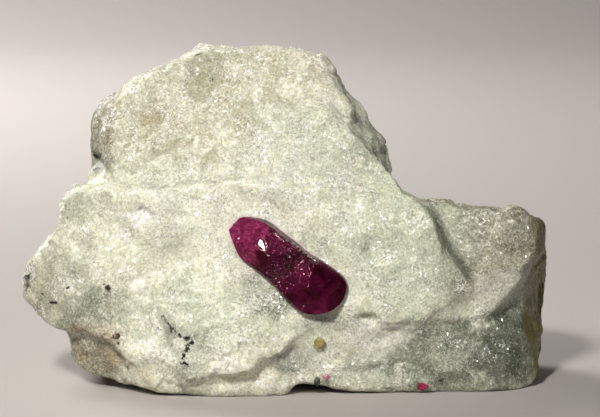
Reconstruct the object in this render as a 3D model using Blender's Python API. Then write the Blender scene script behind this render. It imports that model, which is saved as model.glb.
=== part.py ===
"""Ruby crystal in a broken block of white marble.

The block is one solid: convex lumps with flat fracture faces, run together, roughened
into grain-sized facets and cut flat underneath. The ruby and the small mineral grains
are solids of their own, each in a pocket of the marble.

Lengths written as plain numbers in the point lists are millimetres, with X to the right,
Y away from the viewer and Z up. The origin is under the middle of the block.
"""

import math
import random

import bmesh
import bpy
import numpy as np
from mathutils import Vector, noise
from mathutils.bvhtree import BVHTree

MM = 0.001

# Gap between a crystal or grain and its pocket, and how far a pocket's corner moves
# out so that the faces beside it move by at least that gap
POCKET_GAP = 0.3
POCKET_SWELL = 1.35 * POCKET_GAP

# Spacing of the grid that runs the lumps together, and the block's triangles after thinning
VOXEL = 0.9
BLOCK_TRIANGLES = 6800

# Fracture relief: facet size, slope of the facets, and where their random division starts
COARSE_FACETS = (8.5, 0.17, Vector((3.1, 5.7, 1.3)))
FINE_FACETS = (3.6, 0.20, Vector((9.2, 0.4, 6.6)))
LUMP_SIZE, LUMP_HEIGHT = 16.0, 0.8
CELL_SPREAD = 7.31
NOISE_SEED = 7

# The face that carries the ruby leans back from its foot
FACE_Y = -15.0
FACE_Z = 18.0
FACE_LEAN = math.radians(14)

# Corners of the lumps that make up the block
UPPER_BLOCK = [
    (-28.0, -6.0, 30), (-28.6, -2.8, 39), (-27.8, -0.8, 44.0), (-22.0, 1.2, 49.4), (-13.6, 1.8, 53.0),
    (-4.0, 2.2, 53.7), (5.8, 2.5, 51.8), (7.2, 0.4, 47.4), (10.2, -4.0, 39.6), (15.3, -9.5, 32.6),
    (-32.0, 3.0, 28), (-32.2, 4.5, 38), (-31.4, 5.0, 42.6), (-25.2, 7.0, 48.4),
    (-13.6, 10.0, 53.2), (-4.0, 11.0, 53.2), (5.2, 11.0, 50.8),
    (11.4, 8.0, 44.4), (15.4, 8.0, 39.2), (17.6, 7.0, 33.4), (-25.6, 14.5, 29), (-24.6, 13.0, 40),
    (-12, 14.0, 47.5), (2, 14.5, 47), (10.6, 15.0, 38), (15.4, 16.2, 30),
]
MAIN_SLAB = [
    (-30.0, -10.5, 31.5), (-12.0, -12.0, 33.5), (8.0, -11.2, 34.5), (21.2, -10.2, 31.2),
    (24.8, -12.4, 24.0), (30.0, -13.8, 16.6), (17.4, -16.8, 10.6), (4.0, -17.2, 9.6),
    (-12.0, -17.8, 6.5), (-26.0, -16.8, 7.0), (-34.0, -13.6, 11.0), (-37.2, -10.2, 20.0),
    (-36.4, -6.8, 27.0), (-33.6, 10.0, 29.0), (16.0, 17.0, 29.6), (25.4, 16.0, 22.0),
    (27.0, 17.6, 10.0), (-26.0, 18.0, 8.0), (-34.4, 10.6, 17.0), (-8.0, 19.0, 17.0),
]
RIGHT_BLOCK = [
    (20.0, -6.0, 29.4), (27.4, -6.6, 29.2), (38.6, -5.6, 28.2), (42.4, -3.6, 26.0), (42.0, -7.4, 17.4),
    (30.0, -12.0, 17.4), (18.0, -15.6, 10.8), (40.8, -9.0, 4.0), (39.6, -10.6, 0.4), (35.0, -13.4, -0.8),
    (24.0, -13.8, -0.8),
    (43.0, 1.0, 23.6), (42.6, 3.0, 13.0), (40.9, 4.0, 6.0), (39.6, 4.0, 0.0), (41.0, 7.0, 25.4),
    (23.0, 15.0, 27.0), (37.0, 13.0, 24.6), (38.4, 13.0, 10.0), (34.0, 13.0, -1.0), (20.0, 16.0, -1.0),
]
LEFT_LOBE = [
    (-42.6, -4.6, 13.8), (-43.0, -3.2, 17.4), (-42.0, -4.0, 19.4), (-40.6, -7.4, 11.4), (-39.2, -8.0, 20.4),
    (-37.0, -10.4, 8.8), (-33.0, -13.0, 8.6), (-37.6, -9.2, 24.0), (-38.2, -1.0, 24.0), (-41.0, 3.0, 16.4),
    (-38.0, 4.0, 10.0), (-28.0, -15.0, 13.0), (-28.0, 12.0, 10.0), (-33.0, 10.0, 24.0),
]
FOOT_LEFT = [
    (-35.2, -6.4, 8.0), (-34.0, -8.4, 3.4), (-31.8, -9.0, 1.6), (-26.0, -12.6, 1.2), (-25.0, -14.0, 8.0),
    (-32.0, -11.2, 8.6), (-34.0, 3.0, 7.0), (-31.0, 5.0, 1.6), (-20.0, 12.0, -1.0), (-14.0, -14.0, -1.0),
    (-20.0, 15.0, 12.0),
]
FOOT_MIDDLE = [
    (-25.0, -15.8, 2.0), (-20.0, -17.2, 0.4), (-10.0, -17.6, -0.6), (0.0, -16.6, -1.0), (3.6, -16.8, 5.0),
    (-4.0, -18.4, 6.0), (-14.0, -18.8, 5.2), (-25.0, -17.6, 7.0), (-20.0, 13.0, -1.0), (2.0, 15.0, -1.0),
    (2.0, 16.0, 12.0), (-20.0, 15.0, 12.0),
]
FOOT_ARCH = [
    (-3.0, -16.8, 2.4), (4.6, -15.8, 0.9), (8.0, -15.2, 1.9), (13.0, -14.8, 2.0), (17.6, -14.6, 1.2),
    (23.0, -14.4, -0.4), (22.0, -15.4, 9.8),
    (-2.0, -17.2, 9.0), (0.0, 3.0, -1.0), (20.0, 1.0, -1.0), (0.0, 15.0, -1.0), (22.0, 15.0, -1.0),
    (22.0, 15.6, 12.0), (0.0, 16.0, 12.0),
]
# Thin plates that stand proud of the faces and end in ledges
PLATE_BELOW_RUBY = [
    (4.0, -18.0, 11.6), (-0.6, -19.2, 6.8), (-5.6, -20.0, 4.6), (-15.0, -20.0, 3.4), (-19.0, -18.4, 13.0),
    (-6.0, -17.6, 16.0), (4.0, -15.0, 10.8), (-0.6, -16.0, 6.2), (-15.0, -16.0, 3.2), (-19.0, -14.0, 13.0),
    (-4.0, -13.0, 16.0),
]
PLATE_RIGHT = [
    (6.6, -4.8, 45.6), (0.0, -5.2, 41.0), (-2.0, -10.6, 34.0), (6.0, -13.4, 27.0), (17.0, -14.0, 21.0),
    (23.0, -12.8, 24.4), (21.2, -11.2, 30.6), (14.8, -8.2, 36.0), (7.0, 0.0, 44.0), (-2.0, -4.0, 34.0),
    (17.0, -8.0, 21.0), (20.0, -6.0, 30.0),
]
PLATE_LEFT = [
    (-36.6, -8.0, 29.4), (-35.8, -8.6, 31.3), (-29.0, -10.6, 32.4), (-19.0, -12.6, 32.6), (-14.0, -14.0, 26.0),
    (-25.0, -15.2, 17.0), (-36.4, -11.0, 22.0), (-34.6, 2.0, 31.0), (-19.0, -6.0, 32.4), (-25.0, -9.0, 17.0),
    (-36.0, -6.0, 21.0),
]
PLATE_BACK = [
    (-6.0, 20.2, 5.0), (20.0, 19.8, 4.0), (24.0, 18.8, 13.0), (15.0, 19.8, 24.0), (-2.0, 20.6, 21.0),
    (-10.0, 19.6, 12.0), (-8.0, 12.0, 3.0), (24.0, 12.0, 3.0), (25.0, 12.0, 22.0), (-8.0, 12.0, 24.0),
]
PLATE_BACK_TOP = [
    (-20.0, 15.8, 33.0), (-2.0, 17.0, 31.0), (0.0, 16.2, 42.0), (-9.0, 14.6, 49.0), (-19.0, 14.2, 43.0),
    (-20.0, 8.0, 32.0), (0.0, 8.0, 32.0), (-6.0, 8.0, 47.0),
]
PLATE_RIGHT_FOOT = [
    (20.0, -16.0, 10.8), (30.0, -13.4, 11.6), (40.6, -9.0, 16.2), (42.4, -7.0, 19.0), (40.0, -8.0, 21.0),
    (30.0, -12.4, 18.0), (22.0, -14.4, 15.0), (20.0, -10.0, 11.4), (40.0, -2.0, 17.0), (30.0, -4.0, 18.0),
]
LUMPS = [
    UPPER_BLOCK, MAIN_SLAB, RIGHT_BLOCK, LEFT_LOBE, FOOT_LEFT, FOOT_MIDDLE, FOOT_ARCH,
    PLATE_BELOW_RUBY, PLATE_RIGHT, PLATE_LEFT, PLATE_RIGHT_FOOT, PLATE_BACK, PLATE_BACK_TOP,
]
# Pits broken into the front: centre (x, z), radius, depth
PITS = [
    ((-11.0, 50.0), 2.6, 1.3), ((-13.4, 46.5), 2.0, 0.8), ((-30.4, 35.0), 2.6, 1.4), ((12.6, 12.6), 2.4, 1.5),
    ((-22.0, 43.0), 3.0, 0.8), ((-33.0, 24.0), 3.2, 0.8), ((-3.0, 4.0), 2.4, 0.7), ((15.0, 23.0), 3.0, 0.7),
    ((34.0, 8.0), 3.4, 0.8), ((-20.0, 10.0), 2.8, 0.7), ((3.0, 37.0), 3.2, 0.7), ((27.0, 22.0), 2.6, 0.9),
]

# Corners of the ruby as (x, lift off the marble face, z): the upper barrel and the lower one,
# each with its outline at the marble, its front corners and its buried back corners
RUBY_UPPER = [
    (-8.9, -0.2, 26.3), (-8.4, 0.4, 27.1), (-7.2, 0.2, 28.0), (-5.0, 0.0, 27.9), (-2.9, 0.0, 27.5),
    (-0.6, -0.1, 26.3), (3.6, -0.1, 22.5), (-1.2, -0.3, 17.0), (-3.4, -0.2, 19.3), (-6.2, -0.1, 21.2),
    (-7.9, 0.0, 23.8),
    (-7.2, 1.5, 26.6), (-6.2, 1.7, 23.8), (-4.4, 2.9, 24.6), (-2.9, 2.7, 26.0), (-0.3, 2.8, 23.8),
    (3.0, 2.2, 20.9), (-4.5, 2.4, 21.5), (-1.8, 2.3, 18.6),
    (-6.6, -4.0, 25.0), (-1.4, -4.4, 25.0), (2.0, -4.2, 21.4), (-2.0, -4.2, 19.4), (-5.4, -4.2, 22.0),
]
RUBY_LOWER = [
    (1.9, -0.3, 23.8), (5.2, -0.1, 21.4), (7.2, 0.0, 20.0), (9.1, 0.2, 18.9), (9.9, 0.2, 18.0), (9.9, 0.2, 16.9),
    (9.4, 0.4, 15.4), (8.3, 0.4, 14.2), (6.6, 0.4, 13.3), (4.4, 0.4, 12.8), (1.9, 0.2, 13.6), (-0.8, -0.1, 15.9),
    (-2.2, -0.3, 18.2),
    (1.4, 2.2, 22.0), (5.4, 2.5, 20.3), (7.7, 2.8, 18.8), (8.4, 2.9, 16.5), (6.5, 3.5, 14.6), (4.0, 3.7, 14.0),
    (1.4, 3.0, 15.5), (-0.4, 2.3, 18.0), (2.6, 3.6, 17.2), (6.2, 3.6, 17.6),
    (2.0, -4.2, 21.2), (7.6, -3.8, 18.4), (7.4, -3.8, 15.4), (4.4, -4.0, 14.4), (0.6, -4.2, 17.0),
]

# Small mineral grains: centre (x, z) on the front, size (x, y, z) and colour
GRAINS = {
    "ruby_grain_right": ((21.9, 1.2), (1.9, 1.5, 1.2), "#a01848"),
    "ruby_grain_middle": ((6.7, 2.9), (1.3, 1.2, 1.1), "#b05070"),
    "black_grain_middle": ((5.2, 2.2), (1.2, 1.2, 1.4), "#16130f"),
    "black_grain_left": ((-27.9, 17.0), (1.1, 1.0, 1.0), "#1c1a16"),
    "black_grain_low_left": ((-26.5, 9.6), (1.2, 1.1, 1.2), "#201d18"),
    "black_patch_left_edge": ((-41.5, 16.4), (1.1, 1.2, 2.4), "#25221c"),
    "mica_flake": ((5.6, 8.6), (1.9, 1.1, 2.0), "#8a7c3a"),
}
# How far a grain's centre stands out of the face, and how far its corners are pushed in or out
GRAIN_PROUD = 0.1
CORNER_RANGE = (0.8, 1.05)


def clear_scene():
    """Remove every object of the open file."""
    for item in list(bpy.data.objects):
        bpy.data.objects.remove(item, do_unlink=True)


def linear_colour(hex_colour):
    """Turn an sRGB hex colour into linear RGBA."""
    channels = [int(hex_colour[i:i + 2], 16) / 255 for i in (1, 3, 5)]
    linear = [c / 12.92 if c <= 0.04045 else ((c + 0.055) / 1.055) ** 2.4 for c in channels]
    return (*linear, 1.0)


def add_material(item, name, hex_colour, roughness):
    """Give the object one Principled material."""
    material = bpy.data.materials.new(name)
    material.use_nodes = True
    shader = material.node_tree.nodes["Principled BSDF"]
    shader.inputs["Base Color"].default_value = linear_colour(hex_colour)
    shader.inputs["Roughness"].default_value = roughness
    shader.inputs["Metallic"].default_value = 0.0
    material.diffuse_color = linear_colour(hex_colour)
    item.data.materials.clear()
    item.data.materials.append(material)


def object_from_bmesh(name, bm):
    """Put the bmesh into a new object of the scene."""
    mesh = bpy.data.meshes.new(name)
    bm.to_mesh(mesh)
    bm.free()
    item = bpy.data.objects.new(name, mesh)
    bpy.context.scene.collection.objects.link(item)
    return item


def add_hull(bm, points):
    """Add the convex hull of the points, in metres, as its own closed body."""
    part = bmesh.new()
    for point in points:
        part.verts.new(point)
    result = bmesh.ops.convex_hull(part, input=part.verts[:])
    inside = [e for e in result["geom_interior"] if isinstance(e, bmesh.types.BMVert)]
    bmesh.ops.delete(part, geom=inside, context="VERTS")
    bmesh.ops.recalc_face_normals(part, faces=part.faces[:])
    mesh = bpy.data.meshes.new("hull")
    part.to_mesh(mesh)
    part.free()
    bm.from_mesh(mesh)
    bpy.data.meshes.remove(mesh)


def bake_modifiers(item):
    """Replace the object's mesh by its evaluated mesh and drop the modifiers."""
    graph = bpy.context.evaluated_depsgraph_get()
    mesh = bpy.data.meshes.new_from_object(item.evaluated_get(graph))
    item.modifiers.clear()
    item.data = mesh


def facet_lift(point, size, slope, start):
    """Height of a fracture surface: each cell of a random division is a plane tilted its own way."""
    spot = point / size + start
    cell = noise.voronoi(spot)[1][0]
    lean = noise.noise_vector(cell * CELL_SPREAD)
    return size * slope * lean.dot(spot - cell)


def pit_depth(point):
    """How deep the pits are at this point of the front."""
    depth = 0.0
    for (x, z), radius, deepest in PITS:
        near = math.hypot(point.x - x, point.z - z) / radius
        if near < 1:
            depth += deepest * (1 - near * near) ** 2
    return depth


def quad_normals(mesh):
    """Unit normals at the points of a mesh of quads, each summed from its quads in a fixed order."""
    corners = np.empty(len(mesh.loops), np.int32)
    mesh.loops.foreach_get("vertex_index", corners)
    corners = corners.reshape(-1, 4)
    points = np.empty(len(mesh.vertices) * 3)
    mesh.vertices.foreach_get("co", points)
    points = points.reshape(-1, 3)
    first, second, third, fourth = (points[corners[:, i]] for i in range(4))
    facing = np.cross(third - first, fourth - second)
    total = np.zeros_like(points)
    for i in range(4):
        np.add.at(total, corners[:, i], facing)
    total /= np.linalg.norm(total, axis=1, keepdims=True)
    return [Vector(row) for row in total]


def roughen(item):
    """Move each point along its normal by broad lumps and two sizes of tilted facets."""
    mesh = item.data
    for vertex, normal in zip(mesh.vertices, quad_normals(mesh)):
        point = vertex.co / MM
        lift = LUMP_HEIGHT * noise.noise(point / LUMP_SIZE)
        lift += facet_lift(point, *COARSE_FACETS)
        lift += facet_lift(point, *FINE_FACETS)
        if normal.y < 0:
            lift -= pit_depth(point)
        vertex.co += normal * lift * MM


def keep_largest_body(item):
    """Delete the small shells that closed gaps between the lumps leave inside."""
    bm = bmesh.new()
    bm.from_mesh(item.data)
    unseen = set(bm.verts)
    bodies = []
    while unseen:
        reached = [unseen.pop()]
        for vert in reached:
            for edge in vert.link_edges:
                other = edge.other_vert(vert)
                if other in unseen:
                    unseen.remove(other)
                    reached.append(other)
        bodies.append(reached)
    bodies.sort(key=len)
    for small in bodies[:-1]:
        bmesh.ops.delete(bm, geom=small, context="VERTS")
    bm.to_mesh(item.data)
    bm.free()


def cut_flat_below(item, height):
    """Slice the object at the height and keep what is above, closed by a flat face."""
    bm = bmesh.new()
    bm.from_mesh(item.data)
    everything = bm.verts[:] + bm.edges[:] + bm.faces[:]
    cut = bmesh.ops.bisect_plane(
        bm, geom=everything, plane_co=(0, 0, height), plane_no=(0, 0, 1), clear_inner=True)
    rim = [e for e in cut["geom_cut"] if isinstance(e, bmesh.types.BMEdge)]
    bmesh.ops.holes_fill(bm, edges=rim, sides=0)
    bmesh.ops.triangulate(bm, faces=[f for f in bm.faces if len(f.verts) > 3])
    bmesh.ops.recalc_face_normals(bm, faces=bm.faces[:])
    bm.to_mesh(item.data)
    bm.free()


def make_block():
    """The marble block, before its pockets are cut."""
    bm = bmesh.new()
    for lump in LUMPS:
        add_hull(bm, [Vector(p) * MM for p in lump])
    block = object_from_bmesh("marble_matrix", bm)
    fuse = block.modifiers.new("Fuse lumps", "REMESH")
    fuse.mode = "VOXEL"
    fuse.voxel_size = VOXEL * MM
    bake_modifiers(block)
    roughen(block)
    thin = block.modifiers.new("Thin out", "DECIMATE")
    thin.ratio = BLOCK_TRIANGLES / (2 * len(block.data.polygons))
    bake_modifiers(block)
    cut_flat_below(block, 0.0)
    keep_largest_body(block)
    return block


def face_depth(z):
    """Y of the leaning face that carries the ruby, at the height z."""
    return FACE_Y + (z - FACE_Z) * math.tan(FACE_LEAN)


def ruby_points(corners):
    """Corners given as lift off the leaning face, as points in metres."""
    return [Vector((x, face_depth(z) - lift, z)) * MM for x, lift, z in corners]


def make_ruby(name):
    """Two hexagonal barrels grown together end to end, joined in one solid."""
    bm = bmesh.new()
    add_hull(bm, ruby_points(RUBY_UPPER))
    upper = object_from_bmesh(name, bm)
    bm = bmesh.new()
    add_hull(bm, ruby_points(RUBY_LOWER))
    lower = object_from_bmesh(name + "_lower", bm)
    join = upper.modifiers.new("Join barrels", "BOOLEAN")
    join.operation = "UNION"
    join.object = lower
    bake_modifiers(upper)
    bpy.data.objects.remove(lower, do_unlink=True)
    return upper


def make_grain(name, centre, size):
    """An angular grain: a small ball with its corners pushed in and out, hulled flat-faced."""
    rng = random.Random(name)
    ball = bmesh.new()
    bmesh.ops.create_icosphere(ball, subdivisions=1, radius=0.5)
    points = [v.co * rng.uniform(*CORNER_RANGE) for v in ball.verts]
    ball.free()
    bm = bmesh.new()
    add_hull(bm, [centre + Vector((p.x * size[0], p.y * size[1], p.z * size[2])) * MM for p in points])
    return object_from_bmesh(name, bm)


def cut_pocket(block, piece):
    """Cut the piece's shape, swollen by the gap, out of the block."""
    cutter = piece.copy()
    cutter.data = piece.data.copy()
    bpy.context.scene.collection.objects.link(cutter)
    swell = cutter.modifiers.new("Gap", "DISPLACE")
    swell.strength = POCKET_SWELL * MM
    swell.mid_level = 0.0
    bake_modifiers(cutter)
    cut = block.modifiers.new("Pocket", "BOOLEAN")
    cut.operation = "DIFFERENCE"
    cut.object = cutter
    bake_modifiers(block)
    bpy.data.objects.remove(cutter, do_unlink=True)


def front_point(tree, x, z):
    """The first point of the block behind this place, seen from well in front."""
    return tree.ray_cast(Vector((x, -60, z)) * MM, Vector((0, 1, 0)))[0]


def centre_on_block(block, pieces):
    """Move everything so that the origin is under the middle of the block."""
    corners = [Vector(c) for c in block.bound_box]
    middle = (corners[0] + corners[6]) / 2
    for item in [block, *pieces]:
        item.location = (-middle.x, -middle.y, -corners[0].z)


def main():
    clear_scene()
    noise.seed_set(NOISE_SEED)
    block = make_block()
    graph = bpy.context.evaluated_depsgraph_get()
    tree = BVHTree.FromObject(block, graph)

    ruby = make_ruby("ruby_crystal")
    add_material(ruby, "ruby", "#6a0c38", 0.25)
    pieces = [ruby]
    for name, (place, size, colour) in GRAINS.items():
        spot = front_point(tree, *place)
        spot.y -= GRAIN_PROUD * MM
        grain = make_grain(name, spot, size)
        add_material(grain, name.split("_")[0] + " grain", colour, 0.4)
        pieces.append(grain)
    for piece in pieces:
        cut_pocket(block, piece)
    keep_largest_body(block)
    add_material(block, "white marble", "#d2d2ba", 0.6)
    centre_on_block(block, pieces)


main()
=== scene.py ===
"""Looks of the ruby crystal on white marble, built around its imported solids.

The block's surface is the solid's own form, remeshed fine and broken into calcite grains
by whole-array numpy functions. The ruby is a surface of two parameters, angle round the
crystal and distance from its axis, cut by flat crystal faces. All lengths in the tables
are millimetres in the frame of the solids: X right, Y away from the viewer, Z up.
"""

import math
from functools import partial

import bmesh
import bpy
import numpy as np
from bpy.props import FloatProperty, FloatVectorProperty, PointerProperty
from mathutils import Matrix, Vector


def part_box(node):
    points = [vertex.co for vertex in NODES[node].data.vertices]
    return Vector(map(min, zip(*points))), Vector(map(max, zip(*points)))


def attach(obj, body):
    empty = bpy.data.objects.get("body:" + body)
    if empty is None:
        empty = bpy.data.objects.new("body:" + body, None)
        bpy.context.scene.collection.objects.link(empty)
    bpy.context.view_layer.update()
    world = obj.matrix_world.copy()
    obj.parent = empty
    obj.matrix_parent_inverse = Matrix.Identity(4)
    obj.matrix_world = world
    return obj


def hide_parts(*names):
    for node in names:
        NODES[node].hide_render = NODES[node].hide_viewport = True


bl_info = {
    "name": "Ruby on Marble Specimen",
    "version": (1, 0, 0),
    "blender": (4, 5, 0),
    "location": "View3D > Sidebar > Specimen",
    "description": "Builds a ruby crystal in a broken block of sugary marble",
    "category": "Add Mesh",
}

MM = 0.001

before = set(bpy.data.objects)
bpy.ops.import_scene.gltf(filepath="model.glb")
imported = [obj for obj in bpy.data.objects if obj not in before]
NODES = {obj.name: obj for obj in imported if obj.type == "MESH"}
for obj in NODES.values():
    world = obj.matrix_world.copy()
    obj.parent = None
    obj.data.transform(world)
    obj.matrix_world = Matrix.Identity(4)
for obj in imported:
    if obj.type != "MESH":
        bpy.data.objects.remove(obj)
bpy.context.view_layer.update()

# The leaning face that carries the ruby, as in the solids: its depth, height and lean
FACE_Y, FACE_Z, FACE_LEAN = -15.31, 18, math.radians(14)

# The ruby's rim on that face, as (x, z), from the tip round by its upper edge
RUBY_RIM = [
    (-9, 26), (-8.75, 27.05), (-7.15, 28), (-4.7, 27.95), (-2.4, 27.4), (0.05, 25.35), (1.85, 24.2),
    (3.7, 22.5), (5.75, 21.4), (7.55, 20.2), (9.1, 19.1), (9.95, 18.05), (9.9, 17.1), (9.25, 15),
    (7.45, 13.55), (4.6, 12.9), (2.4, 13.4), (0.9, 14.9), (-0.95, 16.7), (-2.15, 18), (-4.65, 20),
    (-6.75, 21.35), (-7.7, 22.6),
]
# The crystal's long axis on the face
AXIS = (0.83, -0.558)
# The small facet on the ridge by the tip, which mirrors the key light: middle (x, z), height there,
# the radii of its slight bulge along the direction down to the right and across it, and that direction
KNOB = (-3.8, 24.35, 2.8, 30, 6)
KNOB_DOWN = (0.62, -0.78)
# Edges that carry a row of tiny mirroring facets, on both barrels
BRIGHT_EDGES = [[(-3.3, 23.4), (-2.5, 22.3)], [(2.6, 14.1), (3.6, 15.3)], [(-1.6, 25.9), (-0.2, 24.6)]]
# Points of the ruby's front across its axis and along it, and along it on the buried keel
RUBY_COLUMNS, RUBY_ROWS, KEEL_ROWS = 420, 200, 16
# How far below the face the rim of the crystal lies, and how steeply its wall rises from there
RIM_SUNK, WALL_SLOPE = 0.3, 9

# Where the key light and the camera stand, and what they look at, in metres
TARGET = (0.0024, -0.0063, 0.0284)
KEY_PLACE, KEY_TARGET = (-0.14, -0.42, 0.39), (-0.014, -0.010, 0.018)
CAMERA_DISTANCE, CAMERA_RISE = 0.5, math.radians(8)
# Width in metres of what the camera sees at its target, and of its sensor in millimetres
VIEW_WIDTH, SENSOR_WIDTH = 0.096, 36

# Flat crystal faces of the two barrels, each through three points (x, z, height above the face)
UPPER_FACES = {
    "tip": ((-8.7, 26, 0), (-4.7, 23.3, 3.1), (-3, 27, 2.2)),
    "left rim": ((-7.6, 23.2, 1.2), (-5, 20.5, 1), (-4.8, 22.9, 2.9)),
    "dark": ((-4.7, 23.3, 3.1), (-3.9, 20.2, 1.8), (-0.6, 21.2, 2.6)),
    "red": ((-4.5, 24.3, 3.2), (-2.6, 26.6, 2.6), (0.8, 23, 2.8)),
    "waist": ((-0.5, 23, 2.9), (1.8, 21.5, 2.1), (-1.2, 19.2, 1.8)),
    "strip": ((-1.85, 27.1, 1.4), (3.75, 22.5, 1.4), (0.55, 24.3, 2.85)),
}
LOWER_FACES = {
    "waist": ((0.9, 19.8, 1.6), (2.6, 21.4, 1.9), (3.6, 18.3, 3.7)),
    "top": ((3.9, 18.6, 3.7), (4.9, 16.6, 3.8), (8.8, 18.2, 2)),
    "front": ((0.6, 17.2, 2.8), (4.9, 16.6, 3.7), (4.2, 14, 2.1)),
    "end": ((7.8, 16.8, 2.6), (9.6, 17.6, 1.4), (8.9, 15.2, 1.3)),
    "strip": ((3.75, 22.5, 1), (8.95, 19, 1), (5.8, 19.9, 2.4)),
}

# Marks on the front of the block, as (x, z)
BLACK_SEAM = [
    (-19.3, 12.7), (-18.7, 12.1), (-17.2, 10.3), (-16.6, 10.4), (-15.7, 9.8), (-14.9, 9.5), (-14.4, 9),
    (-15.2, 8.5), (-15.5, 7.5), (-15.9, 6.9), (-16, 5.9), (-15.3, 5.4),
]
SEAM_BRANCH = [(-18.7, 12.1), (-18.2, 10.6)]
OCHRE_STREAK = [(-28, 6.8), (-24.5, 4.6), (-21.4, 2.9)]
SLAB_EDGE = [
    (16.6, 35.5), (18.6, 32.6), (20.3, 31.1), (22.2, 29.2), (23.4, 27), (24.4, 24.4), (25.9, 21.4),
    (28.4, 18.4),
]
OLD_SIDE = [
    (40.2, 3), (38.9, 7), (38, 10.4), (38.4, 13.6), (39.1, 16.9), (39.9, 21.4), (40.4, 25),
    (41.2, 27.5),
]
# Breaks: a chain of points with the set-back rock on its right hand, or on its left where the step
# is below zero, how far the rock steps back, the width of the step and how far its back reaches
BREAKS = [
    ([(-8.5, 4.2), (-5.7, 4.8), (-3, 5.9), (-1.1, 6.9), (1.3, 9), (3.6, 10.9), (5.5, 11.6)],
     0.4, 0.4, 7),
    ([(14.2, 12.1), (17.2, 11.5), (19.6, 12), (22.3, 11.8), (25.9, 11.4), (28.5, 11.8), (32, 12.2)],
     0.3, 0.3, 9),
    ([(11.7, 4.2), (14.8, 4.7)], 0.4, 0.4, 2.5),
    (SLAB_EDGE, -1.2, 0.4, 8),
]
# Facets cut off the front: a chain and how steeply the rock falls away on its right hand
CUTS = [([(36.4, -1), (35.6, 6), (34.4, 9), (33.2, 10.1)], 0.9), (OLD_SIDE, 2.4)]
# Spots: (x, z, half width, half height, strength)
HOLLOWS = [
    (-12.9, 50.7, 2.6, 3.6, 1.3), (-12, 48.3, 0.9, 1, 1), (-30.5, 35.7, 1, 0.9, 1),
    (12.7, 12.3, 1.8, 0.9, 1), (10.6, 6.4, 0.25, 1.8, 0.5), (11.4, 10.1, 0.3, 0.6, 0.5),
]
# The first three milky spots are large single crystals, cleaved so that they mirror the key light;
# their white colour is partly a painted highlight
MIRROR_CRYSTALS = [(-22.9, 28, 2.2, 1.8, 1), (-25.1, 25.1, 1.5, 1.4, 1), (-23.3, 17.8, 1.5, 1.4, 1)]
RAGGED_SPOTS = {
    # Black specks; the ones at the hollows (-12, 48.3), (-30.6, 35.6) and (12.7, 12.4) are painted
    # shade in them
    "dark": [
        (-37, 13.8, 0.75, 0.3, 1), (-38.9, 15, 0.35, 0.3, 0.8), (-34.4, 16.4, 0.35, 0.3, 0.8),
        (24.8, 1.9, 0.4, 0.3, 0.9), (-26.9, 10.9, 0.45, 0.3, 0.6), (-26.2, 8.5, 0.4, 0.4, 0.7),
        (-41.2, 16.8, 0.8, 1.6, 0.6), (-28.8, 17.6, 0.7, 0.35, 0.7), (-12, 48.3, 0.7, 0.8, 0.5),
        (-30.6, 35.6, 0.8, 0.6, 0.7), (12.7, 12.4, 1.5, 0.5, 0.45), (-27.6, 15.9, 0.4, 0.4, 0.5),
    ],
    # Grey rock; the long spot under the ruby at (7.5, 11.6) is its painted shadow, and the one at
    # (-30.2, 34.9) painted shade in the pit there
    "grey": [
        (-35.7, 31.9, 1.6, 0.8, 0.8), (-38.3, 26.5, 0.7, 2.5, 0.6), (-28.4, 30.6, 1.2, 2, 0.5),
        (-20.6, 14, 1, 0.9, 0.6), (-34, 13.5, 3.5, 2, 0.5), (-14.4, 10.2, 1, 0.8, 0.8),
        (-18.5, 9.9, 0.9, 0.7, 0.6), (-40.9, 17.8, 1.5, 2.2, 0.9), (-31, 6.5, 4, 4.5, 0.5),
        (-14.6, 4.6, 2.8, 1.6, 0.7), (6, 23, 2.2, 1.6, 0.5), (-4.2, 17.4, 3.2, 2.6, 1),
        (7.5, 11.6, 6, 1.5, 0.9), (-12.5, 8, 2, 2.5, 0.5), (-39.2, 13, 2.8, 2.2, 0.9),
        (1, 5.8, 1.8, 1.8, 0.8), (-1.4, 14.6, 3, 2.2, 1), (-31.5, 11.4, 5, 2, 0.7),
        (-30.2, 34.9, 1.8, 1.8, 1),
    ],
    "glassy": [
        (0.8, 5.7, 3, 2.1, 0.8), (-36.5, 15, 7, 7, 0.35), (-28.6, 13.8, 4.5, 3.6, 0.8),
        (26, 6, 12, 6, 0.95), (-31, 5, 5, 5, 0.8), (13.5, 39, 4, 5.5, 0.6), (36, 8, 5, 9, 1),
        (-9, 44, 5, 3, 0.3), (12, 3, 7, 3, 0.3), (-33, 28, 4.5, 6, 0.15), (-12, 50, 4, 4, 0.5),
        (-1.4, 14.4, 3.2, 2.4, 0.7), (-33, 11, 4.5, 2.5, 0.7),
    ],
    # Deep dark green rock at the lower right, made darker there partly as painted shade; the spots at
    # (13.2, 12.6) and (-30.2, 34.9) are painted shade in hollows
    "deep": [
        (38, 5.6, 3.8, 7.5, 1), (35.8, 11, 2.6, 2.2, 0.7), (34, 4.5, 4.5, 6.5, 0.85),
        (27, 1, 6, 2.6, 0.55), (13.2, 12.6, 1.6, 0.5, 0.5), (-30.2, 34.9, 1.4, 1.4, 0.5),
    ],
    # Milky white crystals, partly painted highlights; the wide faint spots are painted light that
    # brightens broad areas of the front
    "milk_and_painted_light": [
        *MIRROR_CRYSTALS, (-27.5, 17.5, 0.8, 0.6, 0.8), (-33.6, 16.4, 0.6, 0.5, 0.8),
        (-32.6, 15.8, 0.6, 0.5, 0.8), (10.4, 40.1, 0.7, 0.6, 0.7), (-13.1, 53, 0.9, 0.7, 0.9),
        (36.1, 26.4, 0.4, 0.25, 0.9), (-20.3, 44.6, 0.6, 0.5, 0.7), (-29.1, 42, 0.5, 0.5, 0.7),
        (-23, 7, 5, 3.5, 0.25), (15, 8.8, 4.5, 2.6, 0.35), (3.5, 7, 5, 2.5, 0.2), (9.5, 16, 3, 3, 0.25),
        (-10, 29, 15, 8, 0.25), (0, 33.5, 9, 6, 0.3), (14.5, 9.2, 5.5, 2.6, 0.8),
        (34.2, 16, 4.8, 3.2, 0.4),
    ],
}
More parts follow.
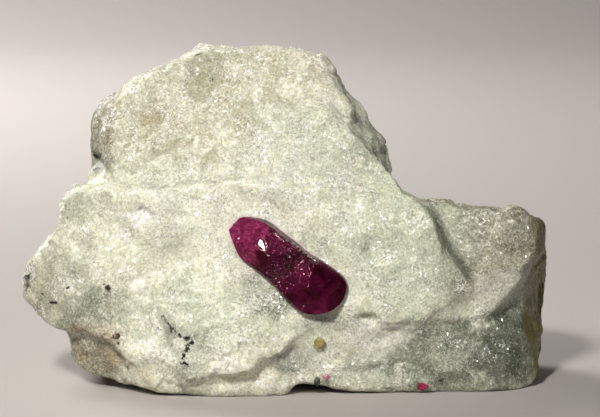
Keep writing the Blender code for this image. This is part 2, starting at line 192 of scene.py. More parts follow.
SOFT_SPOTS = {
    "green": [(18, 25, 12, 12, 0.8), (2, 38, 12, 8, 0.5), (-8, 12, 8, 6, 0.4)],
    "rust": [(-33, 9.6, 1.6, 0.6, 0.8), (-30.6, 9.2, 0.9, 0.5, 0.7), (-26.8, 8.9, 0.6, 0.5, 0.6),
             (-7, 14.9, 0.4, 0.4, 0.9), (-3.6, 9.6, 0.5, 0.5, 0.6)],
    "ochre": [(-31, 9, 1.8, 1, 0.7), (-38.2, 23.6, 1.3, 0.5, 0.6), (-40, 13.5, 1.5, 1.5, 0.4),
              (-16, 44.5, 15, 9.5, 0.5), (0, 50, 12, 6, 0.4), (-30.5, 7, 6.5, 5, 0.5),
              (-40, 15, 4, 7, 0.3)],
}

# Numbers stored per point for the materials to read
MARBLE_FIELDS = (*RAGGED_SPOTS, *SOFT_SPOTS, "seam_mm", "halo_mm", "weathered", "old_side_and_shade", "low")
RUBY_FIELDS = ("pale", "frost", "grime", "gleam")

GRAIN_NODES = ("ruby_grain_right", "ruby_grain_middle", "black_grain_middle", "black_grain_left",
               "black_grain_low_left", "black_patch_left_edge", "mica_flake")
# Minerals of the grains: name, dark and light tone, roughness and the width of their patches in metres
MINERALS = [
    ("black mineral grain", "#14120f", "#3c372c", 0.35, 0.0005),
    ("olive mica", "#857c45", "#b9ae6c", 0.3, 0.0007),
    ("small ruby grain", "#7c0c34", "#c03a6c", 0.2, 0.0006),
    ("pale ruby grain", "#a85a6c", "#d396a0", 0.3, 0.0006),
    ("rusty black mineral", "#211711", "#b59a84", 0.45, 0.0005),
    ("black mineral in marble", "#1a1814", "#b4b7a3", 0.45, 0.0009),
]
# The mineral and the slot of each grain that isn't of the plain black one
GRAIN_KINDS = {
    "ruby_grain_right": ("small ruby grain", "ruby"),
    "ruby_grain_middle": ("pale ruby grain", "pink_ruby"),
    "black_grain_low_left": ("rusty black mineral", "black_mineral"),
    "mica_flake": ("olive mica", "mica"),
    "black_patch_left_edge": ("black mineral in marble", "black_mineral"),
}


# Colour


def srgb(hex_colour):
    """An sRGB hex colour as linear RGBA."""
    values = np.array([int(hex_colour[i:i + 2], 16) / 255 for i in (1, 3, 5)])
    linear = np.where(values <= 0.04045, values / 12.92, ((values + 0.055) / 1.055) ** 2.4)
    return (*linear.tolist(), 1.0)


# Whole-array noise

# Odd numbers that mix the bits of a lattice cell's three numbers, its seed and its channel
CELL_MIXERS = np.array([73856093, 19349663, 83492791], np.uint64)
SEED_MIXER, SEED_START, CHANNEL_MIXER = 2654435761, 97, 0x9E3779B97F4A7C15
BIT_MIXERS = ((30, 0xBF58476D1CE4E5B9), (27, 0x94D049BB133111EB))


def lattice_random(cells, seed, count):
    """Random numbers 0 to 1 that belong to integer lattice cells: a bit-mixing hash of each cell."""
    keys = cells.astype(np.int64).astype(np.uint64) * CELL_MIXERS
    key = keys[:, 0] ^ keys[:, 1] ^ keys[:, 2] ^ np.uint64(seed * SEED_MIXER + SEED_START)
    columns = []
    for channel in range(count):
        mixed = key + np.uint64(channel * CHANNEL_MIXER & 0xFFFFFFFFFFFFFFFF)
        for shift, mixer in BIT_MIXERS:
            mixed = (mixed ^ (mixed >> np.uint64(shift))) * np.uint64(mixer)
        mixed ^= mixed >> np.uint64(31)
        columns.append((mixed >> np.uint64(40)).astype(float) / float(1 << 24))
    return np.stack(columns, axis=1)


def nearest_cells(points, size, seed):
    """Random division of space: each point's offset from the centre of the nearest of 27 jittered
    cells, and that cell's four random numbers."""
    scaled = points / size
    base = np.floor(scaled)
    best = np.full(len(points), np.inf)
    offset = np.zeros_like(points)
    winner = np.zeros_like(points)
    for step in np.ndindex(3, 3, 3):
        cell = base + np.array(step) - 1
        apart = scaled - (cell + lattice_random(cell, seed, 3))
        distance = np.linalg.norm(apart, axis=1)
        closer = distance < best
        best[closer] = distance[closer]
        offset[closer] = apart[closer]
        winner[closer] = cell[closer]
    return offset, lattice_random(winner, seed + 101, 4)


def grain_lift(points, size, tilt, level, seed):
    """Broken grains: each random cell is a plane with its own tilt and level."""
    offset, random = nearest_cells(points, size, seed)
    slope = ((random[:, :3] * 2 - 1) * offset).sum(axis=1)
    return size * tilt * slope + level * (random[:, 3] * 2 - 1)


def value_noise(points, size, seed):
    """Smooth noise from -1 to 1: random values on a lattice, blended with a smooth step."""
    scaled = points / size
    base = np.floor(scaled)
    blend = scaled - base
    blend = blend * blend * (3 - 2 * blend)
    total = np.zeros(len(points))
    for corner in np.ndindex(2, 2, 2):
        corner = np.array(corner)
        weight = np.prod(np.where(corner == 1, blend, 1 - blend), axis=1)
        total += weight * lattice_random(base + corner, seed, 1)[:, 0]
    return total * 2 - 1


def layered_noise(points, size, seed, layers=3):
    """Sum of value noises, each half the size and half the strength of the one before."""
    total = np.zeros(len(points))
    for layer in range(layers):
        total += value_noise(points, size / 2 ** layer, seed + layer) / 2 ** layer
    return total / (2 - 0.5 ** (layers - 1))


def smooth_step(low, high, value):
    """0 below low, 1 above high, and an S-curve between."""
    t = np.clip((value - low) / (high - low), 0, 1)
    return t * t * (3 - 2 * t)


# Meshes


def new_object(name, data):
    """A new object in the scene."""
    item = bpy.data.objects.new(name, data)
    bpy.context.scene.collection.objects.link(item)
    return item


def mesh_object(name, points, faces):
    """A new object from point and face arrays, points in millimetres, faces of equal length."""
    mesh = bpy.data.meshes.new(name)
    faces = np.asarray(faces, np.int32)
    sides = faces.shape[1]
    mesh.vertices.add(len(points))
    mesh.vertices.foreach_set("co", (np.asarray(points) * MM).astype(np.float32).ravel())
    mesh.loops.add(faces.size)
    mesh.loops.foreach_set("vertex_index", faces.ravel())
    mesh.polygons.add(len(faces))
    mesh.polygons.foreach_set("loop_start", np.arange(0, faces.size, sides, dtype=np.int32))
    mesh.update(calc_edges=True)
    mesh.validate()
    return new_object(name, mesh)


def points_of(item):
    """The object's points in millimetres."""
    co = np.empty(len(item.data.vertices) * 3, np.float32)
    item.data.vertices.foreach_get("co", co)
    return co.reshape(-1, 3).astype(float) / MM


def put_points(item, points):
    """Write the points, in millimetres, back into the object's mesh."""
    item.data.vertices.foreach_set("co", (points * MM).astype(np.float32).ravel())
    item.data.update()


def corner_table(item):
    """The point numbers of each face of a mesh whose faces all have four corners."""
    corners = np.empty(len(item.data.loops), np.int32)
    item.data.loops.foreach_get("vertex_index", corners)
    return corners.reshape(-1, 4)


def quad_normals(points, quads):
    """Unit normals at the points, each summed from its quads' crossed diagonals in a fixed order."""
    corners = points[quads]
    facing = np.cross(corners[:, 2] - corners[:, 0], corners[:, 3] - corners[:, 1])
    total = np.zeros_like(points)
    for side in range(4):
        np.add.at(total, quads[:, side], facing)
    return total / np.maximum(np.linalg.norm(total, axis=1, keepdims=True), 1e-12)


def relax(points, quads, rounds):
    """Draw each point towards the middle of its neighbours along the quads' edges, several times."""
    count = np.zeros(len(points))
    for side in range(4):
        np.add.at(count, quads[:, side], 2.0)
    for _ in range(rounds):
        total = np.zeros_like(points)
        for side in range(4):
            here = quads[:, side]
            np.add.at(total, here, points[quads[:, (side + 1) % 4]] + points[quads[:, (side + 3) % 4]])
        points = 0.5 * points + 0.5 * total / count[:, None]
    return points


def add_field(item, name, values):
    """Store one number per point for the material to read."""
    field = item.data.attributes.new(name, "FLOAT", "POINT")
    field.data.foreach_set("value", np.asarray(values, np.float32))


def bake_modifiers(item):
    """Replace the object's mesh by its evaluated mesh and drop the modifiers."""
    graph = bpy.context.evaluated_depsgraph_get()
    mesh = bpy.data.meshes.new_from_object(item.evaluated_get(graph))
    item.modifiers.clear()
    item.data = mesh


def merged_copy(node):
    """A merged, unparented copy of a solid's mesh."""
    bm = bmesh.new()
    bm.from_mesh(NODES[node].data)
    bmesh.ops.remove_doubles(bm, verts=bm.verts[:], dist=1e-7)
    mesh = bpy.data.meshes.new(node + "_copy")
    bm.to_mesh(mesh)
    bm.free()
    return new_object(node + "_copy", mesh)


# Distances on the front face, seen along +Y


def past_line(x, z, line, fade=2.5):
    """Signed distance from a chain of points, above zero on the right hand of someone walking along
    it, a share that fades from 1 beside the chain to 0 past its ends, and how many links along it
    the nearest spot lies."""
    best = np.full(len(x), np.inf)
    signed, beside, place = np.zeros((3, len(x)))
    last = len(line) - 2
    for number, ((x0, z0), (x1, z1)) in enumerate(zip(line[:-1], line[1:])):
        dx, dz = x1 - x0, z1 - z0
        length = math.hypot(dx, dz)
        raw = ((x - x0) * dx + (z - z0) * dz) / length ** 2
        along = np.clip(raw, 0, 1)
        distance = np.hypot(x - x0 - along * dx, z - z0 - along * dz)
        side = ((x - x0) * dz - (z - z0) * dx) / length
        over = np.maximum(-raw * length * (number == 0), (raw - 1) * length * (number == last))
        closer = distance < best
        best = np.where(closer, distance, best)
        signed = np.where(closer, np.where(side >= 0, distance, -distance), signed)
        beside = np.where(closer, smooth_step(fade, 0, over), beside)
        place = np.where(closer, number + along, place)
    return signed, beside, place


def distance_to_line(x, z, line):
    """Shortest distance in the XZ plane to a chain of points."""
    return np.abs(past_line(x, z, line)[0])


def front_depths(points, front, chain):
    """Y of the front at each point of a chain: that of the nearest front point, seen along Y."""
    seen = points[front > 0.6]
    return [seen[np.hypot(seen[:, 0] - x, seen[:, 2] - z).argmin(), 1] for x, z in chain]


def face_depth(z):
    """Y of the leaning face that carries the ruby, at the height z."""
    return FACE_Y + (z - FACE_Z) * math.tan(FACE_LEAN)


def camera_place():
    """Where the camera stands: at its distance from the target, in front and a little above."""
    back = Vector((0, -math.cos(CAMERA_RISE), math.sin(CAMERA_RISE)))
    return Vector(TARGET) + back * CAMERA_DISTANCE


def mirror_slopes(x, z):
    """Slopes of height over x and z of a facet that mirrors the key light into the camera: its
    normal lies halfway between the two directions."""
    here = Vector((x, face_depth(z), z)) * MM
    halfway = (Vector(KEY_PLACE) - here).normalized() + (camera_place() - here).normalized()
    return -halfway.x / abs(halfway.y), math.tan(FACE_LEAN) - halfway.z / abs(halfway.y)


# The ruby's shape


def along_and_across(x, z):
    """Coordinates of face points along the crystal's axis and across it, upwards to the right."""
    return x * AXIS[0] + z * AXIS[1], -x * AXIS[1] + z * AXIS[0]


def smooth_chain(points, rounds):
    """A closed chain with its corners cut a quarter of the way along each side, several times."""
    points = np.array(points)
    for _ in range(rounds):
        following = np.roll(points, -1, axis=0)
        points = np.stack([0.75 * points + 0.25 * following, 0.25 * points + 0.75 * following], axis=1)
        points = points.reshape(-1, 2)
    return points


def rim_distance(x, z):
    """Distance from the ruby's rim on the face, above zero outside it and below zero inside."""
    rim = smooth_chain(RUBY_RIM, 1)
    closed = np.vstack([rim, rim[:1]])
    distance = distance_to_line(x, z, closed)
    inside = np.zeros(len(x), bool)
    for (x0, z0), (x1, z1) in zip(closed[:-1], closed[1:]):
        if z0 != z1:
            crosses = (z0 > z) != (z1 > z)
            inside ^= crosses & (x < x0 + (z - z0) * (x1 - x0) / (z1 - z0))
    return np.where(inside, -distance, distance)


def plane_heights(x, z, faces):
    """Height at each point of every crystal face: the plane through the face's three points."""
    heights = []
    for corners in faces.values():
        (x0, z0, h0), *rest = corners
        steps = [[corner_x - x0, corner_z - z0] for corner_x, corner_z, _ in rest]
        slopes = np.linalg.solve(steps, [corner_h - h0 for _, _, corner_h in rest])
        heights.append(h0 + slopes[0] * (x - x0) + slopes[1] * (z - z0))
    return np.stack(heights)


def soft_lowest(heights, rounding):
    """Lowest of several heights, with the edge between two of them rounded."""
    low = heights.min(axis=0)
    return low - rounding * np.log(np.exp(-(heights - low) / rounding).sum(axis=0))


def ruby_grid(columns, rows):
    """Face points of the crystal's grid, and their share of the way along and across.

    A column is a chord of the rim, square to the axis; a row is a share of the chord. Both are
    spaced half evenly and half by a cosine, so the points are closest at the ends and the rim."""
    rim = smooth_chain(RUBY_RIM, 1)
    along, across = along_and_across(rim[:, 0], rim[:, 1])
    turn = along.argmin()
    along, across = np.roll(along, -turn), np.roll(across, -turn)
    far = along.argmax()
    upper = np.argsort(along[:far + 1])
    lower = far + np.argsort(np.append(along[far:], along[0]))
    wrapped_along, wrapped_across = np.append(along, along[0]), np.append(across, across[0])
    share_along, share_across = np.arange(columns + 1) / columns, np.arange(rows + 1) / rows
    share_along = 0.5 * share_along + 0.25 - 0.25 * np.cos(np.pi * share_along)
    share_across = 0.5 * share_across + 0.25 - 0.25 * np.cos(np.pi * share_across)
    a = along[0] + (along[far] - along[0]) * share_along
    top = np.interp(a, along[upper], across[upper])
    bottom = np.interp(a, wrapped_along[lower], wrapped_across[lower])
    c = bottom[:, None] + (top - bottom)[:, None] * share_across
    grids = np.broadcast_arrays(a[:, None], c, share_along[:, None], share_across)
    a, c, s, u = (grid.ravel() for grid in grids)
    return a * AXIS[0] - c * AXIS[1], a * AXIS[1] + c * AXIS[0], a, c, s, u


def knob_frame(x, z):
    """Offsets from the middle of the mirroring facet in x and z, and along and across its bulge."""
    dx, dz = x - KNOB[0], z - KNOB[1]
    right, up = KNOB_DOWN
    return dx, dz, right * dx + up * dz, right * dz - up * dx


def crystal_form(x, z):
    """Height of the crystal's front above the face without its etching, how deep each point lies
    inside the rim, and the share that each crystal face of the two barrels has there.

    Each barrel is the lowest of its crystal faces and of a wall that rises from the rim, and the
    crystal is the higher of the two barrels."""
    inside = np.maximum(-rim_distance(x, z), 0)
    wall = WALL_SLOPE * inside - RIM_SUNK
    knob_x, knob_z, knob_height, long_radius, short_radius = KNOB
    right_slope, up_slope = mirror_slopes(knob_x, knob_z)
    dx, dz, down, over = knob_frame(x, z)
    knob = knob_height + right_slope * dx + up_slope * dz
    knob -= down ** 2 / (2 * long_radius) + over ** 2 / (2 * short_radius)
    knob += 4 * np.maximum(np.hypot(0.6 * down, over) - 0.8, 0)
    barrels = []
    shares = []
    for faces in (UPPER_FACES, LOWER_FACES):
        heights = np.vstack([plane_heights(x, z, faces), wall])
        if faces is UPPER_FACES:
            heights[-1] = soft_lowest(np.stack([wall, knob]), 0.02)
        barrels.append(soft_lowest(heights, 0.05))
        shares.append(np.exp(-(heights - heights.min(axis=0)) / 0.1))
    upper_wins = barrels[0] > barrels[1]
    height = np.where(upper_wins, barrels[0], barrels[1])
    return height, inside, shares[0] * upper_wins, shares[1] * ~upper_wins


def ruby_heights(x, z, a, c, etching):
    """Height of the crystal's front above the face, and how pale, frosted, dirty and mirror-bright
    each point is. The paleness includes a painted glow of light coming back out of the crystal.

    Growth steps and etched roughness lie over the crystal's form, and fade out at the rim. Some of
    the etched facets share one direction, which mirrors the key light."""
    height, inside, upper, lower = crystal_form(x, z)
    tip, left_rim, _, red, _, upper_strip, _ = upper
    lower_waist, _, front, end, lower_strip, _ = lower
    middle = smooth_step(-16.2, -14.4, a) * smooth_step(-6.0, -8.5, a)
    on_strip = np.maximum(upper_strip, 0.5 * lower_strip * smooth_step(-5.5, -8.5, a)) * middle
    on_strip = on_strip * smooth_step(0.9, 0.6, inside)
    flat = np.stack([x, np.zeros_like(x), z], axis=1)
    waist = np.exp(-((a + 12.1 - 0.4 * (c - 17)) / 1.7) ** 2)
    glitter = np.exp(-((a + 10.0 - 0.4 * (c - 17)) / 1.7) ** 2)
    rough = (waist * 1.2 + 1.3 * on_strip + 0.35 * red + 0.2 * lower_waist + 0.2 * tip
             + 0.25 * left_rim + 0.05)
    _, _, down, over = knob_frame(x, z)
    dome, bright = (np.exp(-(down / long) ** 4 - (over / short) ** 4)
                    for long, short in ((1.9, 1), (1.3, 0.62)))
    fade = smooth_step(0.05, 0.4, inside) * (1 - dome)
    steps = ((c + 0.25 * value_noise(flat, 2.0, 5)) / 0.42) % 1.0
    height = height - 0.07 * fade * (red + 0.4 * tip) * steps
    terraces = ((a + 1.1 * value_noise(flat, 1.4, 6)) / 0.55) % 1.0
    height = height - 0.14 * fade * waist * terraces
    for width, level, seed, depth in ((0.75, 0.25, 8, 0.24), (0.28, 0, 12, 0.19)):
        grains = grain_lift(flat, width, 1 / width, level, seed)
        height = height + etching * depth * fade * rough * grains
    height = height + etching * fade * (0.05 + 0.3 * rough) * 0.3 * layered_noise(flat, 0.7, 9)
    edge = np.min([distance_to_line(x, z, line) for line in BRIGHT_EDGES], axis=0)
    edge = np.exp(-(edge / 0.17) ** 2)
    rows = smooth_step(0.2, 0.5, ((0.55 * x + 0.83 * z + 0.3 * value_noise(flat, 1.0, 19)) / 0.8) % 1.0)
    for width, seed, strongest in ((0.3, 21, 0.07), (0.19, 22, 0.17)):
        offset, random = nearest_cells(flat, width, seed)
        across, up = offset[:, 0] * width, offset[:, 2] * width
        centre, *_ = crystal_form(x - across, z - up)
        scatter = 0.06 * random[:, 1:3].T
        right_slope, up_slope = np.array(mirror_slopes(1, 20.5))[:, None] + scatter - 0.03
        facet = centre - 0.04 + right_slope * across + up_slope * up
        chance = (glitter + 0.3 * waist) * rows + 0.12 * red + 0.05 * tip + 0.4 * on_strip
        chance = np.maximum(strongest * np.clip(chance, 0, 1), 0.9 * edge)
        height = np.where((random[:, 0] < chance) & (fade > 0.5), facet, height)
    height = np.where(inside <= 1e-6, -RIM_SUNK, height)
    # Painted glow: the lower front and a patch right of the waist are made paler, as light coming back
    # out of the crystal
    glow = (front + 0.5 * end) * smooth_step(16.4, 13.8, z) * (0.55 + layered_noise(flat, 1.2, 15))
    glow += 0.4 * np.exp(-((x - 2.6) / 1.3) ** 2 - ((z - 20.0) / 1.5) ** 2)
    left_rim = left_rim * smooth_step(-14.8, -16.8, a)
    pale = tip + 0.95 * left_rim + 0.35 * red + 0.08 * waist + 0.15 * lower_waist + 0.55 * glow
    frost = 0.3 * tip + 0.3 * left_rim + 0.05 * waist + 0.35 * on_strip + 0.1 * red - dome
    grime = on_strip + 0.05 * waist
    gleam = 0.25 * waist + 0.35 * glitter + 0.05 * tip + 0.3 * on_strip
    gleam = 1.2 * bright + edge + (1 - dome) * gleam
    return height, *np.clip([pale, frost, grime, gleam], 0, 1)


def sheet_faces(columns, rows):
    """The quads of a grid of columns by rows, by the numbers of their corner points."""
    k, j = np.meshgrid(np.arange(columns), np.arange(rows), indexing="ij")
    corner = (k * (rows + 1) + j).ravel()
    return np.stack([corner, corner + rows + 1, corner + rows + 2, corner + 1], axis=1)


def build_ruby(settings):
    """The crystal as two sheets with the same columns: the front heights on a fine grid, and a keel
    buried in the marble on a coarse one."""
    x, z, a, c, _, _ = ruby_grid(RUBY_COLUMNS, RUBY_ROWS)
    height, *marks = ruby_heights(x, z, a, c, settings.ruby_etching)
    keel_x, keel_z, _, _, s, u = ruby_grid(RUBY_COLUMNS, KEEL_ROWS)
    rounding = np.sqrt(np.clip(16 * s * (1 - s) * u * (1 - u), 0, 1))
    keel = -RIM_SUNK - settings.ruby_buried / MM * rounding
    points = np.concatenate([
        np.stack([x, face_depth(z) - height, z], axis=1),
        np.stack([keel_x, face_depth(keel_z) - keel, keel_z], axis=1),
    ])
    front, back = sheet_faces(RUBY_COLUMNS, RUBY_ROWS), sheet_faces(RUBY_COLUMNS, KEEL_ROWS)[:, ::-1]
    item = mesh_object("ruby", points, np.concatenate([front, back + len(x)]))
    for name, values in zip(RUBY_FIELDS, marks):
        add_field(item, name, np.concatenate([values, np.zeros(len(keel_x))]))
    weld(item)
    shade_smooth(item)
    return item


def weld(item):
    """Merge the points that lie together, so that rims and poles are closed."""
    bm = bmesh.new()
    bm.from_mesh(item.data)
    bmesh.ops.remove_doubles(bm, verts=bm.verts[:], dist=2e-7)
    bm.to_mesh(item.data)
    bm.free()


def shade_smooth(item):
    """Shade every face smooth."""
    item.data.polygons.foreach_set("use_smooth", np.ones(len(item.data.polygons), bool))
    item.data.update()


# The marble's shape


def swollen_copy(node):
    """A copy of a solid pushed out along its normals by 0.6 mm, to close the gap round it."""
    item = merged_copy(node)
    modifier = item.modifiers.new("Swell", "DISPLACE")
    modifier.strength = 0.6 * MM
    modifier.mid_level = 0
    bake_modifiers(item)
    return item


def pocket_filling():
    """Bodies that fill the solids' pockets, so that the rock closes round the crystals: the ruby's is
    cut off at the leaning face, and the grains' are set back by 0.4 mm."""
    ruby = swollen_copy("ruby_crystal")
    bm = bmesh.new()
    bm.from_mesh(ruby.data)
    whole = bm.verts[:] + bm.edges[:] + bm.faces[:]
    bmesh.ops.bisect_plane(bm, geom=whole, plane_co=(0, FACE_Y * MM, FACE_Z * MM),
                           plane_no=(0, -math.cos(FACE_LEAN), math.sin(FACE_LEAN)), clear_outer=True)
    bmesh.ops.holes_fill(bm, edges=[edge for edge in bm.edges if edge.is_boundary])
    bm.to_mesh(ruby.data)
    bm.free()
    fillings = [ruby]
    for node in GRAIN_NODES:
        filling = swollen_copy(node)
        filling.data.transform(Matrix.Translation((0, 0.4 * MM, 0)))
        fillings.append(filling)
    return fillings


def remeshed_block(voxel):
    """The block and its fillings as one closed mesh of even quads."""
    block = merged_copy("marble_matrix")
    bm = bmesh.new()
    bm.from_mesh(block.data)
    for filling in pocket_filling():
        bm.from_mesh(filling.data)
        bpy.data.objects.remove(filling, do_unlink=True)
    bm.to_mesh(block.data)
    bm.free()
    remesh = block.modifiers.new("Even quads", "REMESH")
    remesh.mode = "VOXEL"
    remesh.voxel_size = voxel
    bake_modifiers(block)
    block.name = "marble"
    return block


def foremost(points):
    """Y of the foremost point in each point's own square millimetre of the view along Y."""
    square = np.floor(points[:, [0, 2]]).astype(int)
    square -= square.min(axis=0)
    number = square[:, 0] * (square[:, 1].max() + 1) + square[:, 1]
    nearest = np.full(number.max() + 1, 1e3)
    np.minimum.at(nearest, number, points[:, 1])
    return nearest[number]


def spot_weight(x, z, spots, ragged=0):
    """Strongest of several soft ellipses: its strength in the middle, falling to 0 past the edge,
    which noise draws in and out."""
    weight = np.zeros(len(x))
    for *ellipse, strength in spots:
        reach = ellipse_reach(x, z, *ellipse) + ragged
        weight = np.maximum(weight, strength * smooth_step(1.3, 0.5, reach))
    return weight


def ellipse_reach(x, z, middle_x, middle_z, half_width, half_height):
    """Distance from an ellipse's middle, as a share of the way to its edge."""
    return np.hypot((x - middle_x) / half_width, (z - middle_z) / half_height)


# Layers of broken grains: width over that of a middling grain, tilt, level and seed
GRAIN_LAYERS = [(2.6, 0.1, 0.02, 11), (1, 0.09, 0.015, 23), (0.5, 0.08, 0.02, 37)]
# Weathered rock: its strength, and the heights and the places across between which it comes in
WEATHERED = [(1, (12, 17), (21, 27)), (0.3, (34.5, 38.5), (-12, -22)), (0.8, (33, 35), (-26.8, -28.2)),
             (0.7, (11, 8), (-25, -28.5))]


def rock_lift(points, normals, halo, near_face, coarse):
    """How far the broken grains stand out of the relaxed form, and how low each point lies among
    them, from -1 to 1. The grains are calmer by the ruby, and even on the face that carries it."""
    x, z = points[:, 0], points[:, 2]
    even = near_face * smooth_step(18, 12, np.hypot(x - 2, 0.8 * (z - 24)))
    wild = smooth_step(-0.4, 0.6, value_noise(points, 12, 77)) * (1 - 0.8 * even)
    shares = (0.3 + 0.8 * wild, 0.5 + 0.6 * wild, 1.6 - 0.9 * even)
    lift = sum(share * grain_lift(points, coarse * width, tilt, level, seed)
               for share, (width, tilt, level, seed) in zip(shares, GRAIN_LAYERS))
    lift = lift * (0.4 + 0.6 * smooth_step(0.2, 1.5, halo)) + 0.38 * layered_noise(points, 9, 51)
    low = np.clip(-lift / 0.45, -1, 1)
    # The top of the right block is rougher, and so is all rock that turns away from the viewer
    lift += 0.6 * layered_noise(points, 2.6, 91, 2) * smooth_step(19, 23, x) * smooth_step(23, 28, z)
    lift += 0.4 * layered_noise(points, 2, 95) * smooth_step(0.75, 0.35, -normals[:, 1])
    return lift * smooth_step(0, 1.6, z), low


def break_front(points, moved, lift, front):
    """Step the rock back behind its breaks and cut the facets off the front, along ragged lines."""
    x, z = points[:, 0], points[:, 2]
    wander = 0.45 * layered_noise(points, 2.4, 61, 4)
    skin = smooth_step(7, 1, moved[:, 1] - foremost(moved))
    for chain, drop, width, reach in BREAKS:
        past, beside, _ = past_line(x, z, chain)
        past = math.copysign(1, drop) * past + wander
        step = smooth_step(-0.1, width, past) * smooth_step(reach, reach * 0.3, past)
        moved[:, 1] += skin * abs(drop) * beside * step
    for chain, steepness in CUTS:
        past, beside, place = past_line(x, z, chain, 2)
        edge = np.interp(place, np.arange(len(chain)), front_depths(moved, front, chain))
        cut = edge + steepness * (past + 0.6 * wander) + 0.5 * lift
        moved[:, 1] += beside * np.where(past > -1.5, np.maximum(cut - moved[:, 1], 0), 0)


def fit_round_crystals(points, moved, lift, front, near_face, halo, ragged):
    """Lay the rock flat round the ruby with a pocket under it, keep it behind the small grains, and
    cleave the three large milky crystals so that they mirror the key light."""
    x, z = points[:, 0], points[:, 2]
    bed = near_face * smooth_step(6.5, 0.3, halo)
    flat_bed = face_depth(z) + 0.05 + 0.25 * lift
    moved[:, 1] = moved[:, 1] * (1 - bed) + flat_bed * bed
    moved[:, 1] += 3.4 * near_face * smooth_step(-0.5, -1.3, halo)
    for node in GRAIN_NODES:
        middle, half = middle_and_half(node)
        reach = ellipse_reach(x, z, middle[0], middle[2], half[0], half[2])
        behind = np.maximum(middle[1] - 0.1 - moved[:, 1], 0)
        moved[:, 1] += front * smooth_step(1.5, 0.9, reach) * behind
    for middle_x, middle_z, half_width, half_height, _ in MIRROR_CRYSTALS:
        reach = ellipse_reach(x, z, middle_x, middle_z, half_width, half_height) + ragged
        right_slope, up_slope = mirror_slopes(middle_x, middle_z)
        level, = front_depths(moved, front, [(middle_x, middle_z)])
        plane = level + 0.15 - right_slope * (x - middle_x)
        plane += (math.tan(FACE_LEAN) - up_slope) * (z - middle_z)
        moved[:, 1] += 0.85 * front * smooth_step(1, 0.7, reach) * (plane - moved[:, 1])


def marble_marks(points, normals, front, halo, ragged, low):
    """The numbers that the marble's material reads, by their names."""
    x, z = points[:, 0], points[:, 2]
    marks = {name: front * spot_weight(x, z, spots, ragged) for name, spots in RAGGED_SPOTS.items()}
    marks |= {name: front * spot_weight(x, z, spots) for name, spots in SOFT_SPOTS.items()}
    streak = 0.7 * smooth_step(1.3, 0.2, distance_to_line(x, z, OCHRE_STREAK))
    marks["ochre"] = np.maximum(marks["ochre"], front * streak)
    # Painted shade: a dark band on the slab's edge, where its rounded side turns away from the key
    # light
    past, beside, _ = past_line(x, z, SLAB_EDGE)
    shaded = 0.8 * beside * smooth_step(-0.2, 0.1, -past) * smooth_step(1.9, 0.8, -past)
    marks["deep"] = np.maximum(marks["deep"], front * shaded)
    seam = np.minimum(distance_to_line(x, z, BLACK_SEAM), distance_to_line(x, z, SEAM_BRANCH) + 0.15)
    marks["seam_mm"] = np.where(front > 0.3, np.minimum(seam, 5), 5)
    marks["halo_mm"] = np.clip(halo, -1, 5)
    marks["weathered"] = np.clip(sum(strength * smooth_step(*across, x) * smooth_step(*up, z)
                                     for strength, up, across in WEATHERED), 0, 1)
    # The old side's olive-brown weathering, painted darker as shade where the rock faces right, away
    # from the key light
    past, beside, _ = past_line(x, z, OLD_SIDE, 6)
    marks["old_side_and_shade"] = np.maximum(beside * smooth_step(-0.3, 0.5, past) * (points[:, 1] < 8),
                                   smooth_step(38.5, 41, x) * smooth_step(0.2, 0.7, normals[:, 0]))
    marks["low"] = low
    return marks


def build_marble(settings):
    """The block: the solid's form, relaxed, then broken into grains and marked as the rock is."""
    item = remeshed_block(settings.marble_grid)
    quads = corner_table(item)
    points = relax(points_of(item), quads, 6)
    normals = quad_normals(points, quads)
    x, z = points[:, 0], points[:, 2]
    front = smooth_step(0.05, 0.35, -normals[:, 1])
    near_face = front * (np.abs(points[:, 1] - face_depth(z)) < 5)
    halo = np.where(near_face > 0.2, rim_distance(x, z), 9)
    ragged = 0.45 * layered_noise(points, 1.5, 88)
    lift, low = rock_lift(points, normals, halo, near_face, settings.grain_width / MM)
    moved = points + normals * lift[:, None]
    break_front(points, moved, lift, front)
    moved[:, 1] += 1.1 * front * spot_weight(x, z, HOLLOWS, 0.5 * ragged)
    fit_round_crystals(points, moved, lift, front, near_face, halo, ragged)
    moved[:, 2] = np.maximum(moved[:, 2], 0)
    put_points(item, moved)
    marks = marble_marks(points, normals, front, halo, ragged, low)
    for name in MARBLE_FIELDS:
        add_field(item, name, marks[name])
    shade_smooth(item)
    return item


# The small grains' shape

# Points of a grain around and from pole to pole, and how many pairs of planes cut it
GRAIN_AROUND, GRAIN_UP, GRAIN_PLANES = 56, 30, 7


def middle_and_half(node):
    """The middle of a solid's box and half its size, in millimetres."""
    low, high = (np.array(corner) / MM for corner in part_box(node))
    return (low + high) / 2, (high - low) / 2


def build_grain(node, seed):
    """A grain as a closed surface of two angles: in each direction, the nearest of several random
    planes round the node's middle, made ragged by noise and fitted to the node's box."""
    middle, half = middle_and_half(node)
    j, i = np.meshgrid(np.arange(GRAIN_AROUND), np.arange(GRAIN_UP + 1), indexing="xy")
    theta, phi = 2 * np.pi * j / GRAIN_AROUND, np.pi * i / GRAIN_UP
    direction = [np.sin(phi) * np.cos(theta), np.sin(phi) * np.sin(theta), np.cos(phi)]
    direction = np.stack(direction, axis=2).reshape(-1, 3)
    rng = np.random.default_rng(seed)
    normals = rng.normal(size=(GRAIN_PLANES, 3))
    normals /= np.linalg.norm(normals, axis=1, keepdims=True)
    normals = np.vstack([normals, -normals])
    reach = rng.uniform(0.72, 1, len(normals))
    facing = np.maximum(direction @ normals.T, 1e-3)
    radius = np.minimum((reach / facing).min(axis=1), 1.15)
    radius *= 1 + 0.3 * layered_noise(direction, 0.7, seed)
    points = middle + direction * radius[:, None] * half * 1.08
    first = (i * GRAIN_AROUND + j)[:-1].ravel()
    following = (i * GRAIN_AROUND + (j + 1) % GRAIN_AROUND)[:-1].ravel()
    faces = np.stack([first, first + GRAIN_AROUND, following + GRAIN_AROUND, following], axis=1)
    item = mesh_object("fine_" + node, points, faces)
    weld(item)
    return item


# Materials


